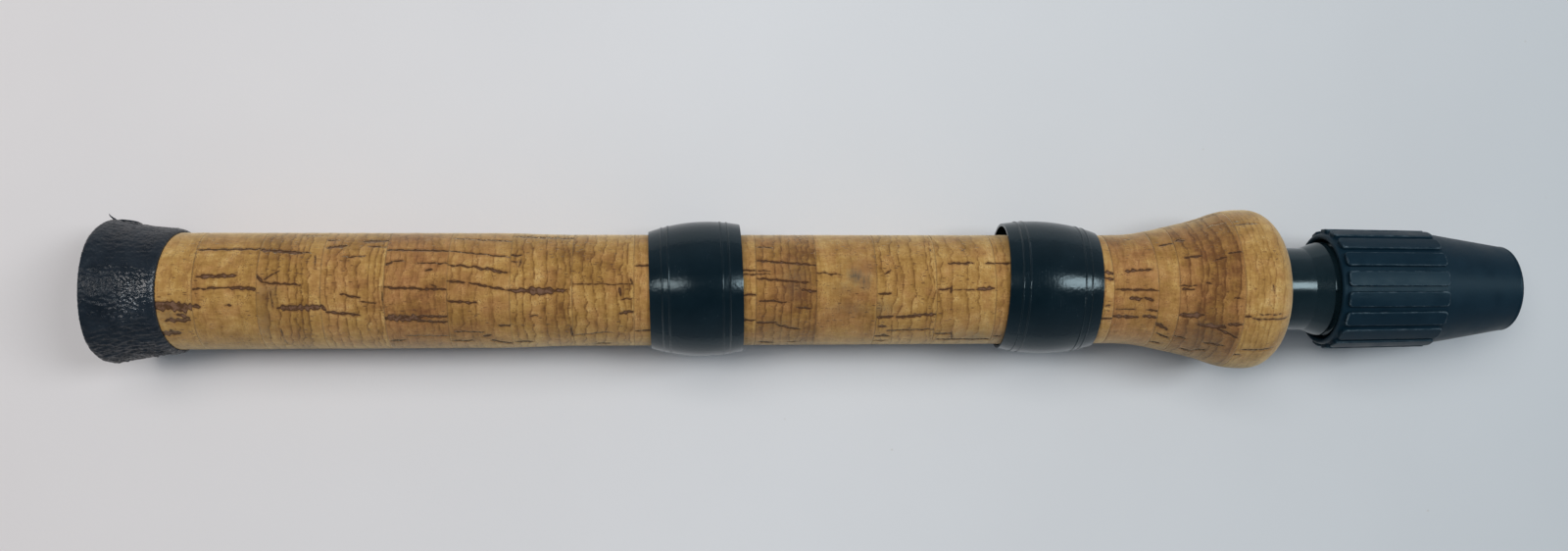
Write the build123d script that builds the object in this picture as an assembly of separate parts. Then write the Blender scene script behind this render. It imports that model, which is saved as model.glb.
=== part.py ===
from build123d import *
import math
import os

# Detachable cork handle for a spinning rod. All sizes in millimetres.
# X runs along the handle, from the butt (negative) to the chuck's nose (positive).
# The origin is the centre of the rod socket's mouth, at the front face of the collet.

# Overall
overall_length = 304.4
nose_projection = 1.0  # the chuck nut stands this far ahead of the collet

# Cork: standard half-inch rings glued end to end and turned to one outline
cork_ring_length = 12.7
full_ring_count = 16
trimmed_rear_ring_length = 4.4
trimmed_front_ring_length = 9.5
thin_disc_length = 4.3
foregrip_ring_length = 13.0
front_ring_length = 12.8
grip_radius = 12.25
reel_seat_radius = 11.9
reel_seat_start = 97.0  # distances along the handle are from its butt end
reel_seat_end = 211.7
seat_taper_length = 16.0
foregrip_radius = 17.55
foregrip_peak = 243.8
flare_outline = [(7.5, 0.35), (13.5, 1.54), (22.8, 3.85)]  # distance ahead of the reel seat, rise above it
front_outline = [(4.9, 2.1), (6.3, 4.1), (6.9, 5.9)]  # distance ahead of the foregrip's peak, drop below it

# Rubber butt cap
cap_length = 15.8
cap_floor = 4.1
cap_rear_radius = 15.0
cap_mid_radius = 13.85
cap_lip_radius = 13.1
cap_dome_height = 1.2  # how far the rim stands ahead of the middle of the end
cap_edge_round = 0.9
cap_lip_length = 0.6
cap_lip_wall = 0.35

# Aluminium tube through the cork
tube_radius = 6.7
tube_bore_radius = 5.7

# Sliding reel rings
rear_reel_ring_length = 19.5
front_reel_ring_length = 20.2
reel_ring_wall = 0.55
reel_ring_narrow_radius = 12.0  # inside, at the end that fits round the cork
reel_ring_peak_radius = 13.9  # inside
reel_ring_mouth_radius = 13.1  # inside, where the reel foot slides in
reel_ring_peak_share = 0.61  # where along its length the ring is widest
bead_height = 0.14
bead_width = 0.5
bead_places = [2.8, 4.2]  # from each end
rear_ring_narrow_end = 113.3
front_ring_narrow_end = 209.8
rear_ring_tilt = 1.5  # cocked sideways on the cork, mouth towards +Y
front_ring_tilt = 2.3
rear_ring_pitch = 0.0  # cocked upwards, with the top of the ring towards the butt
front_ring_pitch = 2.2

# Chuck body
neck_radius = 9.12
neck_start = 232.2
shoulder_start = 257.5
shoulder_length = 3.6
thread_radius = 10.35
thread_end = 278.2
thread_chamfer = 0.8
thread_blank_end = 284.0  # the thread is cut on a longer blank, which is then faced off
thread_pitch = 2.0
groove_start = 261.6
groove_turns = 9.5
groove_depth = 0.8
groove_mouth_half_width = 0.57
groove_floor_half_width = 0.2
spigot_length = 10.0
socket_floor = 235.2
socket_radius = 5.7
pocket_radius = 8.0
pocket_floor = 263.7

# Collet
running_clearance = 0.05
rod_radius = 5.5
collet_tail_start = 267.2
collet_tail_length = 14.4
collet_shoulder_length = 2.0
slot_count = 4
slot_width = 1.2
slot_rear_land = 6.0

# Chuck nut
nut_mouth = 261.9
nut_mouth_radius = 11.1
nut_mouth_depth = 2.4
nut_mouth_taper = 0.7
nut_sleeve_radius = 12.5
nut_rim_round = 0.75
rib_start = 262.9
rib_end = 285.6
rib_rear_radius = 13.35
rib_front_radius = 12.95
rib_count = 18
rib_width = 3.35
rib_corner = 0.9
rib_edge = 0.25
groove_angle = 2.0  # turns the ribs so that a groove lies this far from +Z towards +Y
nose_start_radius = 12.4
nose_end_radius = 9.4
nose_rounding = 1.0
nose_front_radius = 8.8
nut_thread_end = 282.2
ridge_lead = 2  # turns of the body's groove behind the first turn of the nut's ridge
ridge_turns = 4
ridge_height = 0.6
ridge_base_half_width = 0.42
ridge_crest_half_width = 0.14
nut_cone_start = 283.7
nut_cone_start_radius = 9.5
nut_cone_end_radius = 7.5

overlap = 1.0  # how far cutting tools run past the faces they cut

os.makedirs("parts", exist_ok=True)


def at(distance):
    """X of a point this far ahead of the butt end."""
    return distance - (overall_length - nose_projection)


def revolve_profile(edges):
    """Solid of revolution about the X axis from a closed half outline drawn with Y as radius."""
    return revolve(make_face(edges), axis=Axis.X, revolution_arc=360)


def revolve_points(points):
    """Solid of revolution from straight-sided half outline points (distance, radius)."""
    line = Polyline(*[(at(d), r) for d, r in points], close=True)
    return revolve_profile(line.edges())


def tube_between(start, end, outer, inner):
    """Plain tube along X from one distance to another."""
    return revolve_points([(start, inner), (end, inner), (end, outer), (start, outer)])


def save(shape, name):
    """Write one node with its name as its label."""
    shape.label = name
    export_step(shape, f"parts/{name}.step")


def make_butt_cap():
    """Rubber cup pushed over the last of the cork, with a slightly domed end."""
    end_rim = (at(cap_dome_height - cap_edge_round / 3), cap_rear_radius - cap_edge_round)
    lip = (at(cap_length), grip_radius + cap_lip_wall)
    end_dome = ThreePointArc((at(0), 0), (at(cap_dome_height / 4), cap_rear_radius / 2), end_rim)
    side = Spline(
        (at(cap_dome_height * 2), cap_rear_radius),
        (at(cap_length / 2), cap_mid_radius),
        (at(cap_length - cap_lip_length), cap_lip_radius),
    )
    hollow = Polyline(lip, (at(cap_length), grip_radius), (at(cap_floor), grip_radius), (at(cap_floor), 0), (at(0), 0))
    outline = [end_dome, Line(end_rim, side @ 0), side, Line(side @ 1, lip)] + hollow.edges()
    return revolve_profile(outline)


def cork_blank(cork_start, cork_end):
    """The whole cork grip as one turned piece, before it is cut at the glue seams."""
    taper_start = reel_seat_start - seat_taper_length
    taper = Spline(
        (at(taper_start), grip_radius),
        (at(reel_seat_start), reel_seat_radius),
        tangents=[(1, 0), (1, 0)],
    )
    flare = Spline(
        (at(reel_seat_end), reel_seat_radius),
        *[(at(reel_seat_end + ahead), reel_seat_radius + rise) for ahead, rise in flare_outline],
        (at(foregrip_peak), foregrip_radius),
        tangents=[(1, 0), (1, 0)],
    )
    front = Spline(
        (at(foregrip_peak), foregrip_radius),
        *[(at(foregrip_peak + ahead), foregrip_radius - drop) for ahead, drop in front_outline],
        (at(cork_end), neck_radius),
        tangents=[(1, 0), (0.05, -1)],
    )
    outline = [
        Line((at(cork_start), 0), (at(cork_start), grip_radius)),
        Line((at(cork_start), grip_radius), taper @ 0),
        taper,
        Line(taper @ 1, flare @ 0),
        flare,
        front,
        Line(front @ 1, (at(cork_end), 0)),
        Line((at(cork_end), 0), (at(cork_start), 0)),
    ]
    return revolve_profile(outline)


def cork_seams():
    """Distances of both ends of every cork ring, from the butt forwards."""
    lengths = [trimmed_rear_ring_length]
    lengths += [cork_ring_length] * full_ring_count
    lengths += [trimmed_front_ring_length, thin_disc_length, foregrip_ring_length, front_ring_length]
    seams = [cap_floor]
    for length in lengths:
        seams.append(seams[-1] + length)
    return seams


def make_cork_rings():
    """The glued cork rings, each bored for the tube or for the chuck's neck."""
    seams = cork_seams()
    blank = cork_blank(seams[0], seams[-1])
    blank -= tube_between(seams[0] - overlap, neck_start, tube_radius, 0)
    blank -= tube_between(neck_start, seams[-1] + overlap, neck_radius, 0)
    rings = []
    for start, end in zip(seams[:-1], seams[1:]):
        rings.append(blank & tube_between(start, end, foregrip_radius + overlap, 0))
    return rings


def reel_ring_outline(length, offset):
    """Points (distance from the narrow end, radius) of the ring's wall, this far outside its bore."""
    return [
        (0, reel_ring_narrow_radius + offset),
        (length * reel_ring_peak_share, reel_ring_peak_radius + offset),
        (length, reel_ring_mouth_radius + offset),
    ]


def make_reel_ring(length):
    """Thin spun ring with its narrow end at X = 0 and its mouth at +X, with fine beads near both ends."""
    inner = Spline(*reel_ring_outline(length, 0))
    outer = Spline(*reel_ring_outline(length, reel_ring_wall))
    ends = [Line(inner @ 0, outer @ 0), Line(inner @ 1, outer @ 1)]
    ring = revolve_profile([inner, outer] + ends)
    for bead_place in bead_places + [length - place for place in bead_places]:
        point = outer @ (bead_place / length)
        bead = Torus(point.Y - bead_width / 2 + bead_height, bead_width / 2)
        ring += Pos(point.X, 0, 0) * Rot(0, 90, 0) * bead
    return ring


def place_reel_ring(ring, narrow_end, facing, tilt, pitch):
    """Put a ring on the cork, facing +1 with its mouth forward or -1 backward, and cock it."""
    turned = ring if facing > 0 else Rot(0, 180, 0) * ring
    return Pos(at(narrow_end), 0, 0) * Rot(0, -pitch, 0) * Rot(0, 0, facing * tilt) * turned


def helical_thread(start, turns, depth, radius, mouth_half_width, floor_half_width):
    """Right-handed helical bar of trapezoid section that runs inwards from this radius."""
    path = Helix(thread_pitch, turns * thread_pitch, radius, center=(at(start), 0, 0), direction=(1, 0, 0))
    section = Plane(origin=path @ 0, x_dir=(0, 0, 1), z_dir=path % 0)
    outside = 0.4  # the section's root runs this far outside the radius, with the same flank slope
    slope = (mouth_half_width - floor_half_width) / depth
    root_half_width = mouth_half_width + outside * slope
    outline = Polyline(
        (outside, -root_half_width),
        (outside, root_half_width),
        (-depth, floor_half_width),
        (-depth, -floor_half_width),
        close=True,
    )
    return sweep(section * make_face(outline.edges()), path=path, is_frenet=True)


def make_chuck_body():
    """Neck bonded into the foregrip, with a threaded end, a blind rod socket and the collet's pocket."""
    body = revolve_points(
        [
            (neck_start - spigot_length, 0),
            (neck_start - spigot_length, tube_bore_radius),
            (neck_start, tube_bore_radius),
            (neck_start, neck_radius),
            (shoulder_start, neck_radius),
            (shoulder_start + shoulder_length, thread_radius),
            (thread_blank_end, thread_radius),
            (thread_blank_end, pocket_radius),
            (pocket_floor, pocket_radius),
            (pocket_floor, socket_radius),
            (socket_floor, socket_radius),
            (socket_floor, 0),
        ]
    )
    groove = helical_thread(
        groove_start,
        groove_turns,
        groove_depth,
        thread_radius,
        groove_mouth_half_width,
        groove_floor_half_width,
    )
    beyond_end = revolve_points(
        [
            (thread_end, 0),
            (thread_end, thread_radius - thread_chamfer),
            (thread_end - thread_chamfer, thread_radius),
            (thread_end - thread_chamfer, thread_radius + overlap),
            (thread_blank_end + overlap, thread_radius + overlap),
            (thread_blank_end + overlap, 0),
        ]
    )
    return body - groove - beyond_end


def make_collet():
    """Split collet: a tail that slides in the chuck body and tapered jaws that fill the nut's cone."""
    cone_slope = (nut_cone_start_radius - nut_cone_end_radius) / (overall_length - nut_cone_start)
    jaw_start = collet_tail_start + collet_tail_length + collet_shoulder_length
    jaw_end = overall_length - nose_projection
    tail_radius = pocket_radius - running_clearance

    def cone_radius(distance):
        return nut_cone_start_radius - (distance - nut_cone_start) * cone_slope - running_clearance

    collet = revolve_points(
        [
            (collet_tail_start, rod_radius),
            (jaw_end, rod_radius),
            (jaw_end, cone_radius(jaw_end)),
            (nut_cone_start, cone_radius(nut_cone_start)),
            (jaw_start, cone_radius(nut_cone_start)),
            (collet_tail_start + collet_tail_length, tail_radius),
            (collet_tail_start, tail_radius),
        ]
    )
    slot_start = collet_tail_start + slot_rear_land
    slot_length = jaw_end - slot_start + overlap
    for turn in range(slot_count):
        slot = Box(
            slot_length,
            slot_width,
            nut_cone_start_radius + overlap,
            align=(Align.MIN, Align.CENTER, Align.MIN),
        )
        collet -= Rot(turn * 360 / slot_count + 45, 0, 0) * Pos(at(slot_start), 0, 0) * slot
    return collet


def make_rib_band():
    """The ring of material between the nut's sleeve and the tops of its ribs."""
    return revolve_points(
        [
            (rib_start - overlap, nut_sleeve_radius - overlap),
            (rib_start - overlap, rib_rear_radius),
            (rib_end + overlap, rib_front_radius),
            (rib_end + overlap, nose_start_radius - overlap),
        ]
    )


def make_rib(band):
    """One flat rib with rounded corners and softened top edges, centred on +Z."""
    length = rib_end - rib_start
    pad = extrude(RectangleRounded(length, rib_width, rib_corner), rib_rear_radius + overlap)
    rib = (Pos(at(rib_start) + length / 2, 0, 0) * pad) & band
    top_face = rib.faces().sort_by(Axis.Z)[-1]
    return fillet(top_face.edges(), rib_edge)


def nut_outline():
    """Closed half outline of the chuck nut without its ribs and its inner ridge."""
    rim_end = nut_mouth + nut_rim_round
    thread_start = nut_mouth + nut_mouth_depth + nut_mouth_taper
    thread_bore_radius = thread_radius + running_clearance
    inside = Polyline(
        (at(rim_end), nut_mouth_radius),
        (at(nut_mouth + nut_mouth_depth), nut_mouth_radius),
        (at(thread_start), thread_bore_radius),
        (at(nut_thread_end), thread_bore_radius),
        (at(nut_cone_start), nut_cone_start_radius),
        (at(overall_length), nut_cone_end_radius),
        (at(overall_length), nose_front_radius),
    )
    nose_corner = (at(overall_length - nose_rounding), nose_end_radius)
    nose_round = ThreePointArc(
        inside @ 1,
        (at(overall_length - nose_rounding / 4), (nose_front_radius + nose_end_radius) / 2 + nose_rounding / 8),
        nose_corner,
    )
    outside = Polyline(
        nose_corner,
        (at(rib_end), nose_start_radius),
        (at(rib_start + nut_rim_round), nut_sleeve_radius),
        (at(rim_end), nut_sleeve_radius - nut_rim_round / 4),
    )
    rim_round = ThreePointArc(
        outside @ 1,
        (at(nut_mouth), (nut_sleeve_radius + nut_mouth_radius) / 2),
        inside @ 0,
    )
    return inside.edges() + [nose_round] + outside.edges() + [rim_round]


def make_chuck_nut():
    """One moulded piece: ribbed sleeve over the thread and a tapered nose over the collet."""
    ridge = helical_thread(
        groove_start + ridge_lead * thread_pitch,
        ridge_turns,
        ridge_height,
        thread_radius,
        ridge_base_half_width,
        ridge_crest_half_width,
    )
    nut = revolve_profile(nut_outline()) + ridge
    rib = make_rib(make_rib_band())
    rib_step = 360 / rib_count
    ribs = [Rot(-groove_angle + (n + 0.5) * rib_step, 0, 0) * rib for n in range(rib_count)]
    return nut + ribs


save(make_butt_cap(), "butt_cap")
save(tube_between(cap_floor, neck_start, tube_radius, tube_bore_radius), "core_tube")
for number, ring in enumerate(make_cork_rings(), start=1):
    save(ring, f"cork_ring_{number:02d}")
rear_ring = make_reel_ring(rear_reel_ring_length)
front_ring = make_reel_ring(front_reel_ring_length)
save(place_reel_ring(rear_ring, rear_ring_narrow_end, 1, rear_ring_tilt, rear_ring_pitch), "reel_ring_rear")
save(place_reel_ring(front_ring, front_ring_narrow_end, -1, front_ring_tilt, front_ring_pitch), "reel_ring_front")
save(make_chuck_body(), "chuck_body")
save(make_collet(), "collet")
save(make_chuck_nut(), "chuck_nut")
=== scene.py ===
"""Looks for the spinning rod handle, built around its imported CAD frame.

Lengths are metres unless a name ends in _MM or a comment says mm. X runs from the butt to the chuck's
nose, and an angle round the handle is 0 on top (+Z) and grows towards +Y.
"""

import math
import random

import bpy
import numpy as np
from mathutils import Matrix, Vector, noise


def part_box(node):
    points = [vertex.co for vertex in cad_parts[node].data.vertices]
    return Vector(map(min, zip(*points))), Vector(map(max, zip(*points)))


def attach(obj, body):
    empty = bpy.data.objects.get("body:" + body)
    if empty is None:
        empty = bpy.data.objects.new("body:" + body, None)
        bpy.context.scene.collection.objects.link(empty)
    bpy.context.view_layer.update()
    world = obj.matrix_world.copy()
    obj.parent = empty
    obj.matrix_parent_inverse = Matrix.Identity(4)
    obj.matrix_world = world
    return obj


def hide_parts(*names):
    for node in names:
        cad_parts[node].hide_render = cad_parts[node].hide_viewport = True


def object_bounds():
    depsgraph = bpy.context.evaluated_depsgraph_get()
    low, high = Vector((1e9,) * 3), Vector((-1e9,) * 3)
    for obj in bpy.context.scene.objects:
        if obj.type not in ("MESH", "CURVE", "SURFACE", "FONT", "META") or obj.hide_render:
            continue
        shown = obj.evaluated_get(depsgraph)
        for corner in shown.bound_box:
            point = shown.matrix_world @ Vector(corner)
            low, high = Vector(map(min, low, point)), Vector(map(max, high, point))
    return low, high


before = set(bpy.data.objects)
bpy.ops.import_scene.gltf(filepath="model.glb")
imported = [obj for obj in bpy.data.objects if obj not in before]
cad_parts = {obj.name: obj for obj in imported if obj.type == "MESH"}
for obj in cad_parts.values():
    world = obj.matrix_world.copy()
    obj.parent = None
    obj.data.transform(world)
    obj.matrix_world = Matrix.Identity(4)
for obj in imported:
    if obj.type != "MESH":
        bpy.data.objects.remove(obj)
cad_low, cad_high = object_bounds()

MM = 0.001
SEED = 7
CORK_RINGS = 21
BUTT_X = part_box("butt_cap")[0].x

noise.seed_set(SEED)  # noise vectors start from the clock otherwise


# ---------------------------------------------------------------- shader helpers


class Shader:
    """A node material with a Principled surface, and short calls that add and join its nodes."""

    def __init__(self, name, roughness=0.5):
        self.material = bpy.data.materials.new(name)
        self.material.use_nodes = True
        self.tree = self.material.node_tree
        self.surface = self.tree.nodes["Principled BSDF"]
        self.surface.inputs["Roughness"].default_value = roughness
        self.place = self.add("ShaderNodeTexCoord").outputs["Object"]

    def add(self, kind, **settings):
        node = self.tree.nodes.new(kind)
        for key, value in settings.items():
            setattr(node, key, value)
        return node

    def link(self, source, socket):
        if isinstance(source, bpy.types.NodeSocket):
            self.tree.links.new(source, socket)
        else:
            socket.default_value = source

    def set(self, name, source):
        self.link(source, self.surface.inputs[name])

    def math(self, operation, a, b=0.0, c=0.0, clamp=False):
        node = self.add("ShaderNodeMath", operation=operation, use_clamp=clamp)
        for socket, value in zip(node.inputs, (a, b, c)):
            self.link(value, socket)
        return node.outputs[0]

    def scaled(self, x, y, z):
        node = self.add("ShaderNodeMapping")
        node.inputs["Scale"].default_value = (x, y, z)
        self.link(self.place, node.inputs["Vector"])
        return node.outputs[0]

    def noise(self, scale, detail=4.0, rough=0.55, vector=None, distortion=0.0):
        node = self.add("ShaderNodeTexNoise")
        self.link(vector or self.place, node.inputs["Vector"])
        node.inputs["Scale"].default_value = scale
        node.inputs["Detail"].default_value = detail
        node.inputs["Roughness"].default_value = rough
        node.inputs["Distortion"].default_value = distortion
        return node.outputs["Fac"]

    def cells(self, scale, feature="F1", vector=None):
        node = self.add("ShaderNodeTexVoronoi", feature=feature)
        self.link(vector or self.place, node.inputs["Vector"])
        node.inputs["Scale"].default_value = scale
        return node.outputs["Distance"]

    def range(self, value, low, high, to_low=0.0, to_high=1.0):
        node = self.add("ShaderNodeMapRange")
        self.link(value, node.inputs["Value"])
        for key, number in (("From Min", low), ("From Max", high), ("To Min", to_low), ("To Max", to_high)):
            self.link(number, node.inputs[key])
        return node.outputs["Result"]

    def ramp(self, value, stops):
        node = self.add("ShaderNodeValToRGB")
        while len(node.color_ramp.elements) < len(stops):
            node.color_ramp.elements.new(0.5)
        for element, (place, colour) in zip(node.color_ramp.elements, stops):
            element.position = place
            element.color = (*colour, 1.0)
        self.link(value, node.inputs["Fac"])
        return node.outputs["Color"]

    def mix(self, factor, a, b, blend="MIX"):
        node = self.add("ShaderNodeMix", data_type="RGBA", blend_type=blend)
        self.link(factor, node.inputs["Factor"])
        self.link((*a, 1.0) if isinstance(a, tuple) else a, node.inputs[6])
        self.link((*b, 1.0) if isinstance(b, tuple) else b, node.inputs[7])
        return node.outputs[2]

    def attribute(self, name):
        return self.add("ShaderNodeAttribute", attribute_name=name).outputs["Fac"]

    def bump(self, height, depth, strength=1.0):
        node = self.add("ShaderNodeBump")
        node.inputs["Strength"].default_value = strength
        node.inputs["Distance"].default_value = depth
        self.link(height, node.inputs["Height"])
        self.set("Normal", node.outputs["Normal"])

    def axis(self, name):
        node = self.add("ShaderNodeSeparateXYZ")
        self.link(self.place, node.inputs[0])
        return node.outputs[name]


# ---------------------------------------------------------------- materials


def cork_material():
    """Natural cork: patchy tan layers, broken growth lines, brown flecks, stained and torn pores."""
    s = Shader("cork", 0.78)
    tone = s.attribute("tone")
    warmth = s.attribute("warmth")
    pore = s.attribute("pore")  # mm inside a pore's edge
    line_gap = s.attribute("line_gap")  # mm to the nearest growth line
    line_fade = s.attribute("line_fade")  # darkening ahead of a growth line
    line_strength = s.attribute("line_strength")
    grime = s.attribute("grime")

    patches = s.noise(95.0, 5.0, 0.62, distortion=0.6)
    mottle = s.noise(420.0, 5.0, 0.7)
    streaks = s.noise(1.0, 4.0, 0.7, vector=s.scaled(330.0, 1500.0, 1500.0))
    layers = s.noise(1.0, 3.0, 0.65, vector=s.scaled(1900.0, 300.0, 300.0))
    shade = s.math("MULTIPLY_ADD", patches, 0.56, s.math("MULTIPLY", mottle, 0.52))
    shade = s.math("ADD", shade, s.math("MULTIPLY", streaks, 0.26))
    shade = s.math("ADD", s.math("SUBTRACT", shade, 0.08), s.math("MULTIPLY", layers, 0.24))
    shade = s.math("ADD", shade, s.math("MULTIPLY", s.math("SUBTRACT", tone, 0.5), 0.42))
    shade = s.math("SUBTRACT", shade, s.math("MULTIPLY", s.math("MULTIPLY", line_fade, line_strength), 0.2))
    yellow = s.ramp(
        shade,
        [
            (0.45, (0.150, 0.066, 0.014)),
            (0.60, (0.268, 0.138, 0.031)),
            (0.73, (0.380, 0.211, 0.057)),
            (0.85, (0.486, 0.300, 0.098)),
            (0.97, (0.600, 0.405, 0.165)),
        ],
    )
    pink = s.ramp(
        shade,
        [
            (0.45, (0.150, 0.057, 0.019)),
            (0.60, (0.280, 0.126, 0.041)),
            (0.73, (0.386, 0.189, 0.068)),
            (0.85, (0.486, 0.272, 0.108)),
            (0.97, (0.575, 0.366, 0.165)),
        ],
    )
    hue = s.math("ADD", warmth, s.range(s.noise(230.0, 3.0, 0.6), 0.35, 0.65, -0.35, 0.35), clamp=True)
    colour = s.mix(hue, yellow, pink)

    broken = s.range(s.noise(520.0, 4.0, 0.65), 0.36, 0.54, 0.05, 1.0)
    wobble = s.math("MULTIPLY", s.math("SUBTRACT", s.noise(2600.0, 2.0, 0.5), 0.5), 0.16)
    line = s.range(s.math("ADD", line_gap, wobble), 0.04, 0.21, 1.0, 0.0)
    line = s.math("MULTIPLY", s.math("MULTIPLY", line, broken), line_strength, clamp=True)
    colour = s.mix(s.math("MULTIPLY", line, 0.78), colour, (0.110, 0.044, 0.012))

    dash_field = s.cells(1.0, vector=s.scaled(420.0, 1500.0, 1500.0))
    dashes = s.range(dash_field, 0.14, 0.22, 1.0, 0.0)
    dashes = s.math("MULTIPLY", dashes, s.range(patches, 0.44, 0.58, 1.0, 0.2))
    grains = s.range(s.cells(2600.0), 0.2, 0.36, 1.0, 0.0)
    grains = s.math("MULTIPLY", grains, s.range(mottle, 0.44, 0.6, 0.05, 0.8))
    flecks = s.math("MAXIMUM", dashes, grains)
    colour = s.mix(s.math("MULTIPLY", flecks, 0.85), colour, (0.115, 0.048, 0.016))

    joint = s.math("MULTIPLY", s.attribute("seam"), s.range(mottle, 0.36, 0.6, 0.15, 0.75))
    colour = s.mix(joint, colour, (0.120, 0.055, 0.020))
    uneven = s.range(s.math("ADD", mottle, layers), 0.75, 1.2, 0.25, 1.3)
    smudge = s.math("MULTIPLY", grime, uneven, clamp=True)
    colour = s.mix(smudge, colour, (0.096, 0.070, 0.046))

    ragged = s.math("MULTIPLY_ADD", s.math("SUBTRACT", s.noise(1900.0, 3.0, 0.7), 0.5), 0.34, pore)
    stain = s.math("MULTIPLY", s.range(ragged, -0.42, -0.02), s.range(mottle, 0.36, 0.6, 0.1, 0.75))
    colour = s.mix(stain, colour, (0.185, 0.082, 0.026))
    torn = s.range(ragged, -0.05, 0.05)
    inside = s.math("MULTIPLY", s.range(ragged, 0.16, 0.3), s.range(s.noise(900.0, 4.0, 0.7), 0.40, 0.56))
    pore_colour = s.mix(inside, (0.058, 0.023, 0.008), (0.150, 0.080, 0.050))
    colour = s.mix(s.math("MULTIPLY", torn, 0.94), colour, pore_colour)
    s.set("Base Color", colour)
    s.set("Roughness", s.range(streaks, 0.3, 0.7, 0.66, 0.86))
    s.surface.inputs["Specular IOR Level"].default_value = 0.3
    s.surface.inputs["Sheen Weight"].default_value = 0.5
    s.surface.inputs["Sheen Roughness"].default_value = 0.45
    s.surface.inputs["Sheen Tint"].default_value = (1.0, 0.87, 0.6, 1.0)

    height = s.math("MULTIPLY_ADD", streaks, 0.4, s.math("MULTIPLY", line, -0.55))
    height = s.math("SUBTRACT", height, torn)
    height = s.math("SUBTRACT", height, s.math("MULTIPLY", flecks, 0.45))
    height = s.math("MULTIPLY_ADD", mottle, 0.5, height)
    s.bump(height, 0.00016, 0.8)
    return s.material


def rubber_material():
    """Aged black rubber: blue-black, dull, with grey bloom on its raised creases."""
    s = Shader("butt_rubber", 0.55)
    crease = s.attribute("crease")
    bloom = s.noise(260.0, 5.0, 0.65)
    colour = s.ramp(
        bloom,
        [(0.25, (0.004, 0.007, 0.011)), (0.55, (0.008, 0.013, 0.020)), (0.85, (0.018, 0.026, 0.035))],
    )
    dust = s.math("MULTIPLY", s.range(crease, 0.62, 0.95), s.range(s.noise(900.0, 4.0, 0.7), 0.45, 0.7))
    colour = s.mix(s.math("MULTIPLY", dust, 0.5), colour, (0.085, 0.095, 0.115))
    s.set("Base Color", colour)
    off_along = s.range(s.math("ABSOLUTE", s.math("SUBTRACT", s.axis("X"), BUTT_X + 0.0105)), 0.0022, 0.0042)
    off_across = s.range(s.math("ABSOLUTE", s.math("ADD", s.axis("Y"), 0.001)), 0.0035, 0.0065)
    dull = s.math("MULTIPLY_ADD", s.math("MAXIMUM", off_along, off_across), 0.5, 0.5)
    s.set("Roughness", s.math("MULTIPLY", s.range(bloom, 0.3, 0.75, 0.22, 0.40), dull))
    s.set("Specular IOR Level", s.range(dull, 0.5, 1.0, 0.9, 0.45))
    grain = s.noise(3200.0, 5.0, 0.7)
    pebble = s.cells(1700.0, "SMOOTH_F1")
    height = s.math("MULTIPLY_ADD", grain, 0.5, s.math("MULTIPLY", pebble, 0.6))
    s.bump(height, 0.00014, 0.7)
    return s.material


def ring_material():
    """Blue-black anodised metal: glossy with an orange-peel ripple, fine turning lines and a few rubs."""
    s = Shader("ring_metal", 0.26)
    cloud = s.noise(180.0, 4.0, 0.6)
    colour = s.ramp(cloud, [(0.3, (0.0018, 0.0070, 0.0110)), (0.7, (0.0035, 0.0105, 0.0160))])
    scratches = s.noise(1.0, 3.0, 0.7, vector=s.scaled(5200.0, 160.0, 160.0))
    rubbed = s.math("MULTIPLY", s.range(scratches, 0.62, 0.76), s.range(cloud, 0.48, 0.66))
    specks = s.math("MULTIPLY", s.range(s.cells(900.0), 0.05, 0.1, 1.0, 0.0), s.range(cloud, 0.52, 0.6))
    marks = s.math("MAXIMUM", rubbed, specks)
    colour = s.mix(s.math("MULTIPLY", marks, 0.35), colour, (0.07, 0.08, 0.09))
    s.set("Base Color", colour)
    s.set("Roughness", s.math("ADD", s.range(cloud, 0.3, 0.75, 0.15, 0.23), s.math("MULTIPLY", marks, 0.15)))
    s.surface.inputs["Specular IOR Level"].default_value = 0.45
    s.surface.inputs["Specular Tint"].default_value = (0.75, 0.94, 1.0, 1.0)
    peel = s.noise(1300.0, 2.0, 0.5)
    turned = s.noise(1.0, 2.0, 0.6, vector=s.scaled(3000.0, 8.0, 8.0))
    s.bump(s.math("MULTIPLY_ADD", turned, 0.3, peel), 0.00004, 0.8)
    return s.material


def neck_material():
    """Glossy black chuck body with faint lengthwise handling marks."""
    s = Shader("chuck_plastic", 0.18)
    cloud = s.noise(240.0, 4.0, 0.6)
    colour = s.ramp(cloud, [(0.3, (0.0040, 0.0105, 0.0145)), (0.7, (0.0065, 0.0155, 0.0205))])
    marks = s.noise(1.0, 3.0, 0.7, vector=s.scaled(130.0, 2600.0, 2600.0))
    scuffs = s.range(marks, 0.66, 0.8)
    colour = s.mix(s.math("MULTIPLY", scuffs, 0.3), colour, (0.06, 0.06, 0.065))
    s.set("Base Color", colour)
    s.set("Roughness", s.math("ADD", s.range(cloud, 0.3, 0.7, 0.14, 0.21), s.math("MULTIPLY", scuffs, 0.2)))
    s.surface.inputs["Specular Tint"].default_value = (0.75, 0.94, 1.0, 1.0)
    s.bump(s.noise(900.0, 3.0, 0.5), 0.00002, 0.5)
    return s.material


RIB_TAPER = 0.0176  # fall of the rib tops per length along the nut
RIB_TOP_AT_ORIGIN = 0.01264  # their radius carried on to X = 0
RIB_MIDDLE = -0.02915  # X halfway along the ribs


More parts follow.
